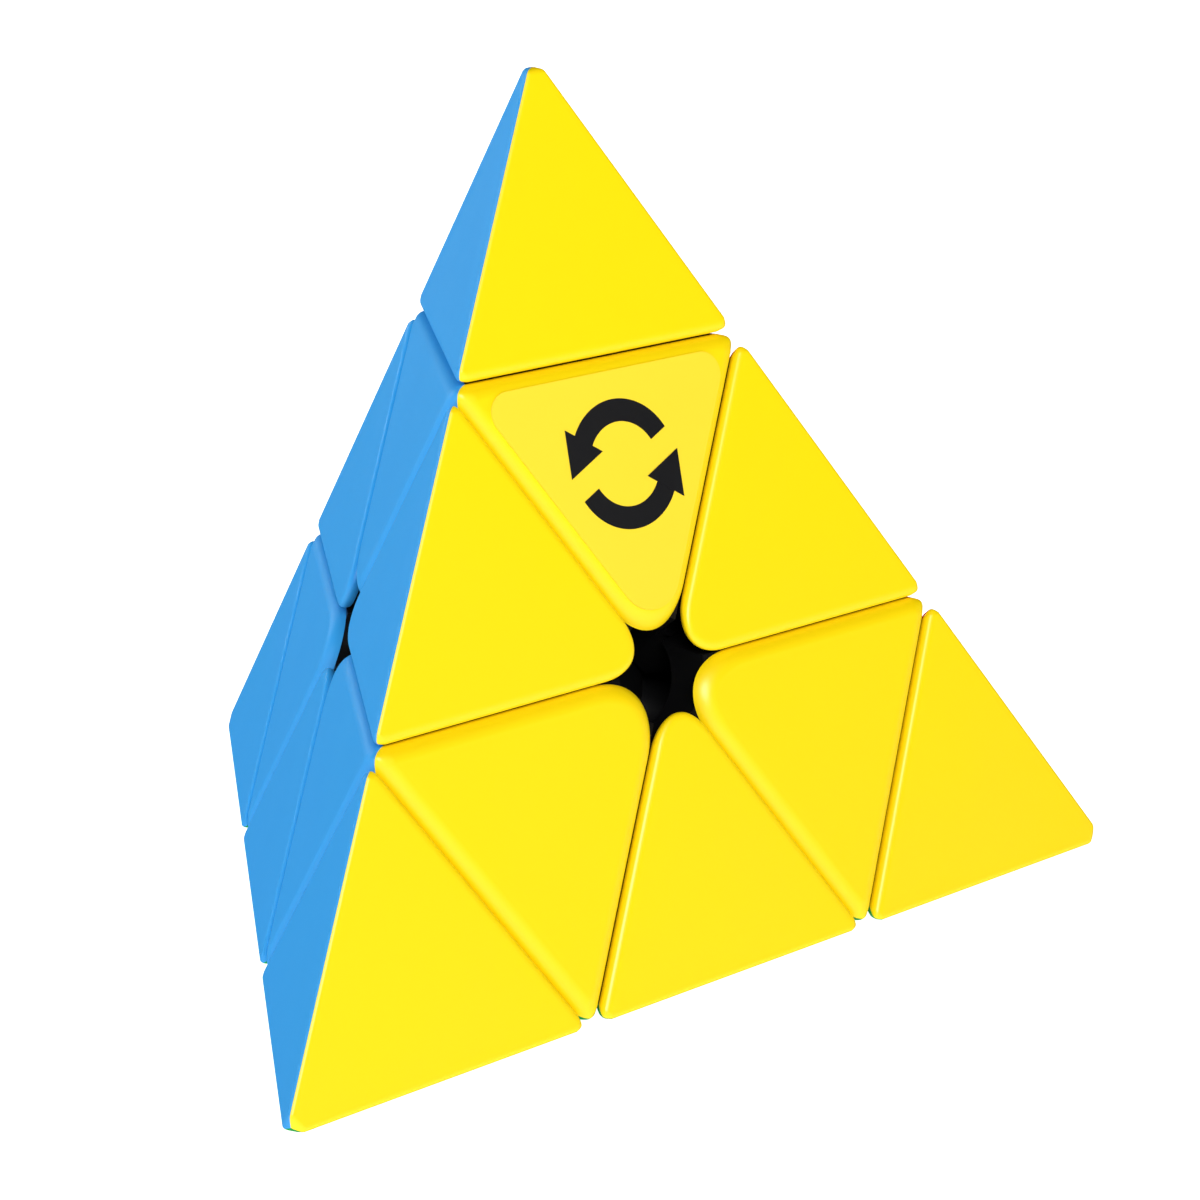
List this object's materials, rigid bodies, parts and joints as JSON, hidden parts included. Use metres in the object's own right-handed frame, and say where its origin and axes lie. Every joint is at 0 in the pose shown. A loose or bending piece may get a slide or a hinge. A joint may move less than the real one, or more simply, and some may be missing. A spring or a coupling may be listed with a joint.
{
  "type": "pyramid twisty puzzle",
  "caption": "Tetrahedral twisty puzzle of coloured plastic: tips, centres and edges that turn about the corner axes of a sprung core.",
  "frame": {"origin": "centre of the core, which is the centre of the pyramid and the centroid of the assembly", "axes": "+Z from the core to the top corner, square to the green side; -Y over the front corner, +X towards the right corner's side"},
  "size_m": [0.0986, 0.0855, 0.0806],
  "materials": {
    "yellow_plastic": "satin moulded plastic",
    "blue_plastic": "satin moulded plastic",
    "red_plastic": "satin moulded plastic",
    "green_plastic": "satin moulded plastic",
    "black_plastic": "moulded plastic",
    "steel": "zinc plated steel",
    "label": "smooth printed film"
  },
  "bodies": {
    "root": {"centre_front_blue_cap": "blue_plastic", "centre_front_body": "black_plastic", "centre_front_green_cap": "green_plastic", "centre_front_lid": "black_plastic", "centre_front_yellow_cap": "yellow_plastic", "centre_left_blue_cap": "blue_plastic", "centre_left_body": "black_plastic", "centre_left_green_cap": "green_plastic", "centre_left_lid": "black_plastic", "centre_left_red_cap": "red_plastic", "centre_right_body": "black_plastic", "centre_right_green_cap": "green_plastic", "centre_right_lid": "black_plastic", "centre_right_red_cap": "red_plastic", "centre_right_yellow_cap": "yellow_plastic", "core": "black_plastic", "edge_front_left_blue_cap": "blue_plastic", "edge_front_left_body": "black_plastic", "edge_front_left_green_cap": "green_plastic", "edge_front_right_body": "black_plastic", "edge_front_right_green_cap": "green_plastic", "edge_front_right_yellow_cap": "yellow_plastic", "edge_right_left_body": "black_plastic", "edge_right_left_green_cap": "green_plastic", "edge_right_left_red_cap": "red_plastic", "spring_washers": "steel", "tension_screws": "steel", "tension_springs": "steel"},
    "top_layer": {"centre_top_blue_cap": "blue_plastic", "centre_top_body": "black_plastic", "centre_top_lid": "black_plastic", "centre_top_red_cap": "red_plastic", "centre_top_yellow_cap": "yellow_plastic", "edge_top_front_blue_cap": "blue_plastic", "edge_top_front_body": "black_plastic", "edge_top_front_yellow_cap": "yellow_plastic", "edge_top_left_blue_cap": "blue_plastic", "edge_top_left_body": "black_plastic", "edge_top_left_red_cap": "red_plastic", "edge_top_right_body": "black_plastic", "edge_top_right_red_cap": "red_plastic", "edge_top_right_yellow_cap": "yellow_plastic", "label": "label"},
    "tip_top": {"tip_top_blue_cap": "blue_plastic", "tip_top_body": "black_plastic", "tip_top_red_cap": "red_plastic", "tip_top_yellow_cap": "yellow_plastic"},
    "tip_front": {"tip_front_blue_cap": "blue_plastic", "tip_front_body": "black_plastic", "tip_front_green_cap": "green_plastic", "tip_front_yellow_cap": "yellow_plastic"},
    "tip_right": {"tip_right_body": "black_plastic", "tip_right_green_cap": "green_plastic", "tip_right_red_cap": "red_plastic", "tip_right_yellow_cap": "yellow_plastic"},
    "tip_left": {"tip_left_blue_cap": "blue_plastic", "tip_left_body": "black_plastic", "tip_left_green_cap": "green_plastic", "tip_left_red_cap": "red_plastic"}
  },
  "joints": [
    {"name": "top_layer_turn", "type": "hinge", "parent": "root", "child": "top_layer", "pos_m": [0, 0, 0], "axis": [0, 0, 1], "continuous": true},
    {"name": "tip_top_turn", "type": "hinge", "parent": "top_layer", "child": "tip_top", "pos_m": [0, 0, 0], "axis": [0, 0, 1], "continuous": true},
    {"name": "tip_front_turn", "type": "hinge", "parent": "root", "child": "tip_front", "pos_m": [0, 0, 0], "axis": [0, -0.9428, -0.3333], "continuous": true},
    {"name": "tip_right_turn", "type": "hinge", "parent": "root", "child": "tip_right", "pos_m": [0, 0, 0], "axis": [0.8165, 0.4714, -0.3333], "continuous": true},
    {"name": "tip_left_turn", "type": "hinge", "parent": "root", "child": "tip_left", "pos_m": [0, 0, 0], "axis": [-0.8165, 0.4714, -0.3333], "continuous": true}
  ]
}
